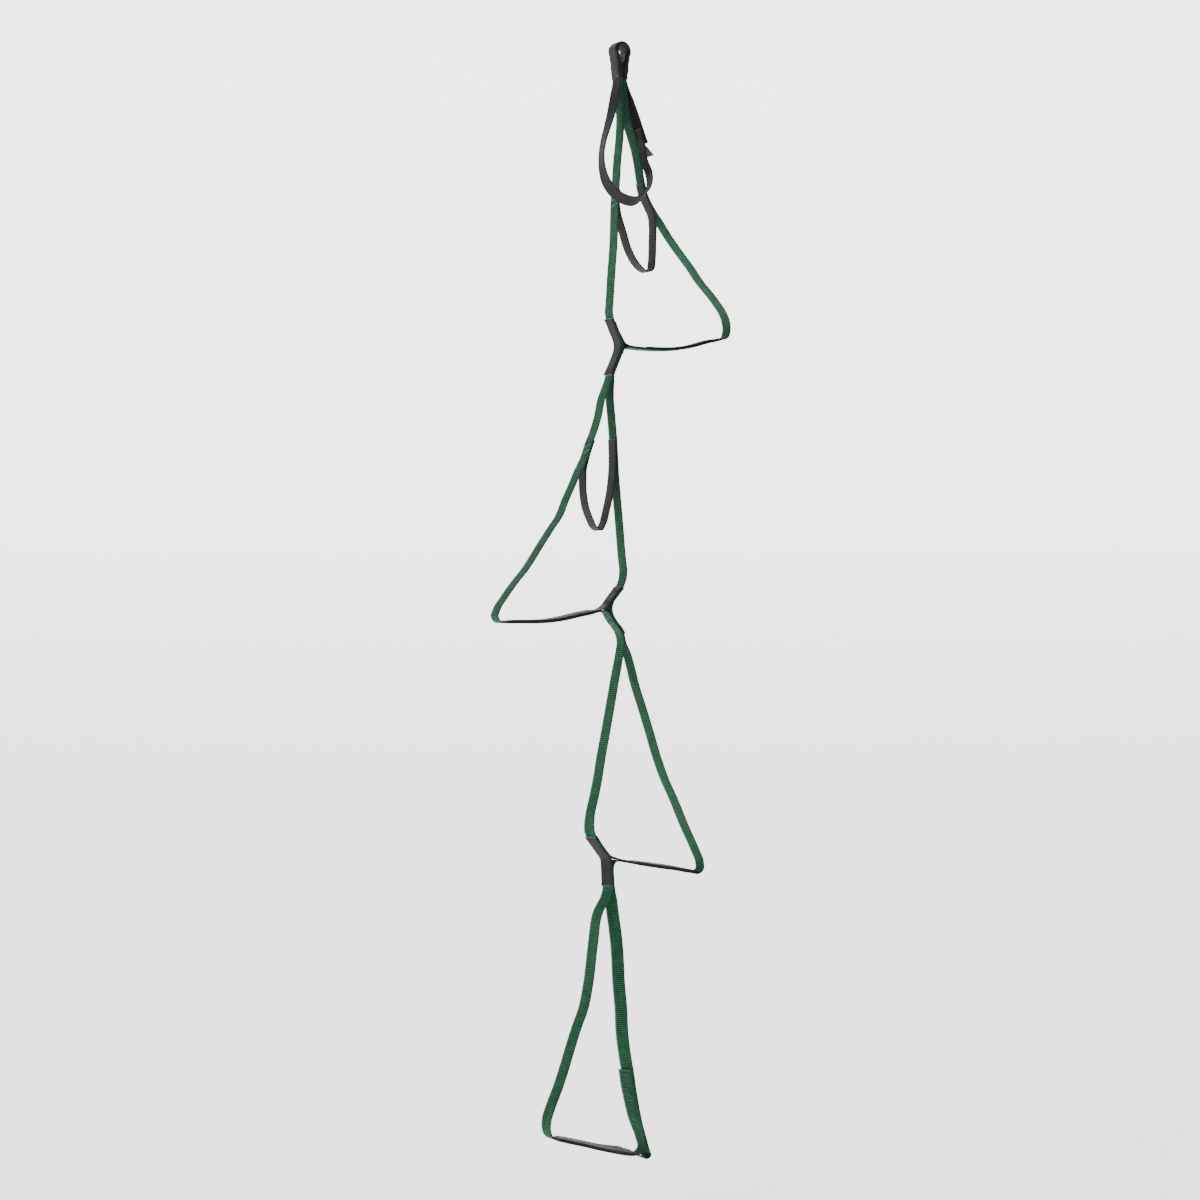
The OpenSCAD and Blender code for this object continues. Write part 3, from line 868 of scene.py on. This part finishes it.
JUNCTIONS = [
    (1, WEB_B, 1, [-402, -410, -418], [-362, -370]),
    (2, WEB_A, -1, [-739, -747, -755], [-705.5, -708, -721, -723.5]),
    (3, WEB_B, 1, [-1074, -1081, -1088], [-1033, -1041]),
]
for number, web, side, lower, upper in JUNCTIONS:
    hinge = {1: HINGE_2, 2: HINGE_3, 3: HINGE_4}[number]
    after = web.at_height(hinge) - 50
    dark, light = [], []
    for z in lower:
        # The thin pale bar 3 mm under each dark one is a painted highlight.
        for rows, drop, radius in ((dark, 0, 0.4), (light, 3, 0.24)):
            s = web.at_height(z - drop, after)
            rows.append(bar(web, s, side * WEB_OUT, -WEB_HALF, WEB_HALF - 2, 4.0, radius=radius))
    dark += rising(LINERS[number], upper, -side * TAPE_OUT, TAPE_HALF - 2)
    name, node = f"junction_stitches_{number}", f"junction_stitching_{number}"
    both_threads(name, node, f"tier_{number}", dark, light)


def sub_step_stitching(number, dark_a, highlight_a, dark_b, highlight_b):
    """Bars where a sub-step's tails are sewn to the two webs."""
    rows = []
    for on_a, on_b in ((dark_a, dark_b), (highlight_a, highlight_b)):
        bars = bars_at(WEB_A, on_a, -WEB_OUT, WEB_HALF, slant=4.0)
        rows.append(bars + bars_at(WEB_B, on_b, WEB_OUT, WEB_HALF, slant=4.0))
    name, node = f"sub_step_stitches_{number}", f"sub_step_stitching_{number}"
    both_threads(name, node, f"tier_{number}", *rows)


# The second and fourth lists give heights of thin pale bars, painted highlights on the stitching.
sub_step_stitching(1, [-190, -198, -206], [-193.5, -202], [-176, -186], [-181])
sub_step_stitching(2, [-515, -523, -531], [-519, -527], [-514, -524], [-519, -529])
GRAB_BARS = bars_at(TAIL_BAND, [-99, -103.5, -108], TAPE_OUT, GRAB_W / 2 - 2)
stitching("grab_stitches", GRAB_BARS, "grab_stitching", "tier_1", GREY_THREAD)


def flap_stitching():
    """Eleven slanted bars on the flap, each with a pale row beside it as a painted highlight."""
    dark, light = [], []
    for i in range(11):
        reach = (WEB_A.centre[:, 2] < -1346 - 6.6 * i) & (WEB_A.s > WEB_A.s[-1] - 130)
        s = WEB_A.s[np.nonzero(reach)[0][-1]]
        # The thin pale bar 2 mm along from each dark one is a painted highlight.
        for rows, shift, radius in ((dark, 0.0, 0.5), (light, 2.0, 0.26)):
            rows.append(bar(
                WEB_A, s + shift, WEB_OUT, -WEB_HALF + 3, WEB_HALF, slant=3.5, depth=0.4, radius=radius,
            ))
    both_threads("flap_stitches", "flap_stitching", "tier_4", dark, light)


flap_stitching()


def neck_stitching():
    """Grey stitches round the hem of the sleeve."""
    outer = NECK_GAP + EYE_T
    parts = []
    for side in (-1, 1):
        path = []
        count = 15
        for k in range(count + 1):
            y = -SLEEVE_W / 2 + 1.4 + (SLEEVE_W - 2.8) * k / count
            path.append((side * (outer + 0.45), y, NECK_Z + 2.6 + (0.65 if k % 2 else -0.65)))
        parts.append(tube_mesh(path, 0.32))
    stitching("neck_stitches", parts, "neck_stitching", "head", GREY_THREAD)


neck_stitching()

# ---- Turned webs and tilted treads ----

def points_of(name):
    """A piece's mesh, and its points in millimetres."""
    mesh = bpy.data.objects[name].data
    co = np.zeros(len(mesh.vertices) * 3, np.float32)
    mesh.vertices.foreach_get("co", co)
    return mesh, co.reshape(-1, 3) / MM


def set_points(mesh, co):
    mesh.vertices.foreach_set("co", (co * MM).astype(np.float32).ravel())
    mesh.update()


def turn_about(names, band, s0, s1, knots, reach=24.0):
    """Turns pieces about the upright line through a band's centre, by degrees that depend on the height.
    Between s0 and s1 the band runs down. The turn fades out sideways, to nothing at reach."""
    heights, degrees = np.array(knots[::-1], float).T
    pick = (band.s >= s0) & (band.s <= s1)
    order = np.argsort(band.centre[pick, 2])
    z_at, x_at = band.centre[pick, 2][order], band.centre[pick, 0][order]
    for name in names:
        mesh, co = points_of(name)
        x0 = np.interp(co[:, 2], z_at, x_at)
        share = 1 - smooth_step((np.abs(co[:, 0] - x0) - reach / 2) / (reach / 2))
        angle = np.radians(np.interp(co[:, 2], heights, degrees)) * share
        x, y = co[:, 0] - x0, co[:, 1].copy()
        co[:, 0] = x0 + x * np.cos(angle) - y * np.sin(angle)
        co[:, 1] = x * np.sin(angle) + y * np.cos(angle)
        set_points(mesh, co)


def tilt(names, tread, knots):
    """Tilts a tread about its own line, by degrees that depend on x, with its near edge down."""
    places, degrees = np.array(sorted(knots), float).T
    line = spline(tread)
    order = np.argsort(line[:, 0])
    for name in names:
        mesh, co = points_of(name)
        z0 = np.interp(co[:, 0], line[order, 0], line[order, 2])
        on_tread = (np.abs(co[:, 2] - z0) < 8) & (co[:, 0] > places[0]) & (co[:, 0] < places[-1])
        angle = np.radians(np.interp(co[:, 0], places, degrees)) * on_tread
        y, z = co[:, 1].copy(), co[:, 2] - z0
        co[:, 1] = y * np.cos(angle) - z * np.sin(angle)
        co[:, 2] = z0 + z * np.cos(angle) + y * np.sin(angle)
        set_points(mesh, co)


TIER_3 = WEB_A.at_height(HINGE_3)
turn_about(
    ["left_web_3_upper", "left_web_3_lower", "left_web_4_upper", "left_web_4_lower", "junction_tape_3",
     "tread_liner_3_tape", "junction_stitches_3", "junction_stitches_3_painted_highlight"],
    WEB_A, TIER_3, WEB_A.at_height(-1410, TIER_3),
    [(-772, 0), (-810, 5), (-1000, 9), (-1030, 20), (-1095, 20), (-1120, 12), (-1380, 13),
     (-1408, 4), (-1414, 0)],
)
TIER_3 = WEB_B.at_height(HINGE_3)
turn_about(["right_web_3_upper", "right_web_3_lower"], WEB_B, TIER_3, WEB_B.at_height(-1078, TIER_3),
           [(-772, 0), (-810, 5), (-1060, 8), (-1082, 0)])
turn_about(
    ["right_web_3_lower", "right_web_4_upper", "right_web_4_lower", "flap_stitches", "flap_stitches_painted_highlight",
     "left_web_4_lower"],
    WEB_B, WEB_B.s[-1] - 405, WEB_B.s[-1] - 18,
    [(-1060, 20), (-1095, 20), (-1130, 34), (-1395, 38), (-1440, 4), (-1460, 0)],
)
tilt(
    ["left_web_2_lower", "tread_liner_2_tape", "tread_strip_2"], TREAD_2,
    [(-184, 0), (-120, 2), (-80, 6), (-50, 6), (-34, 0)],
)
tilt(
    ["right_web_3_lower", "tread_liner_3_tape", "tread_strip_3"], TREAD_3,
    [(2, 0), (25, 4), (60, 7), (100, 6), (127, 0)],
)
tilt(
    ["left_web_4_lower", "tread_liner_4_tape", "tread_strip_4"], TREAD_4,
    [(-104, 0), (-88, 9), (-30, 12), (0, 20), (16, 14), (28, 0)],
)


# ---- Stage ----

def stage():
    """A pale floor that sweeps up into a backdrop."""
    low = cad_box[0].z - 0.06
    profile = [(-8.0, 0.0)] + [(y, 0.0) for y in (-2.0, 2.0)]
    bend = np.radians(np.arange(0, 91, 10))
    profile += [(4.0 + 3.0 * math.sin(a), 3.0 - 3.0 * math.cos(a)) for a in bend]
    profile += [(7.0, 9.0)]
    verts, faces = [], []
    for y, z in profile:
        for x in (-12.0, 12.0):
            verts.append(tuple(ACROSS * x + AWAY * y + Vector((0, 0, low + z))))
    for i in range(len(profile) - 1):
        faces.append((2 * i, 2 * i + 1, 2 * i + 3, 2 * i + 2))
    mesh = bpy.data.meshes.new("backdrop")
    mesh.from_pydata(verts, [], faces)
    mesh.polygons.foreach_set("use_smooth", [True] * len(mesh.polygons))
    g = Graph("pale paper")
    g.shader.inputs["Base Color"].default_value = colour(0.92, 0.92, 0.92)
    g.shader.inputs["Roughness"].default_value = 0.9
    g.shader.inputs["Emission Color"].default_value = colour(1, 1, 1)
    parts = g.tree.nodes.new("ShaderNodeSeparateXYZ")
    g.put(parts.inputs[0], g.node("ShaderNodeTexCoord", output="Object"))
    glow = g.ramp(parts.outputs[2], low - 0.1, low + 1.2)
    g.put(g.shader.inputs["Emission Strength"], g.math("MULTIPLY_ADD", glow, 1.6, 1.4))
    mesh.materials.append(g.material)
    backdrop = bpy.data.objects.new("backdrop", mesh)
    bpy.context.scene.collection.objects.link(backdrop)


def area_light(name, place, aim, size, power):
    data = bpy.data.lights.new(name, "AREA")
    data.shape = "DISK"
    data.size = size
    data.energy = power
    light = bpy.data.objects.new(name, data)
    light.location = place
    light.rotation_mode = "QUATERNION"
    light.rotation_quaternion = (Vector(aim) - Vector(place)).to_track_quat("-Z", "Y")
    bpy.context.scene.collection.objects.link(light)


def lights():
    middle = (0, 0, -0.72)
    area_light("key", (-3.4, 0.4, 0.6), middle, 1.4, 90)
    area_light("fill", (-1.2, -3.2, 0.4), middle, 2.2, 6)
    area_light("top", (0.3, 0.4, 2.2), middle, 1.6, 20)
    world = bpy.data.worlds.new("studio")
    bpy.context.scene.world = world
    world.use_nodes = True
    background = world.node_tree.nodes["Background"]
    background.inputs["Color"].default_value = (1, 1, 1, 1)
    background.inputs["Strength"].default_value = 0.20


def camera():
    data = bpy.data.cameras.new("camera")
    data.sensor_width = 36
    data.lens = 68.97
    data.clip_end = 60
    cam = bpy.data.objects.new("camera", data)
    cam.location = (-1.7522, -2.4575, -0.7194)
    cam.rotation_mode = "QUATERNION"
    cam.rotation_quaternion = AWAY.to_track_quat("-Z", "Y")
    bpy.context.scene.collection.objects.link(cam)
    bpy.context.scene.camera = cam


stage()
lights()
camera()
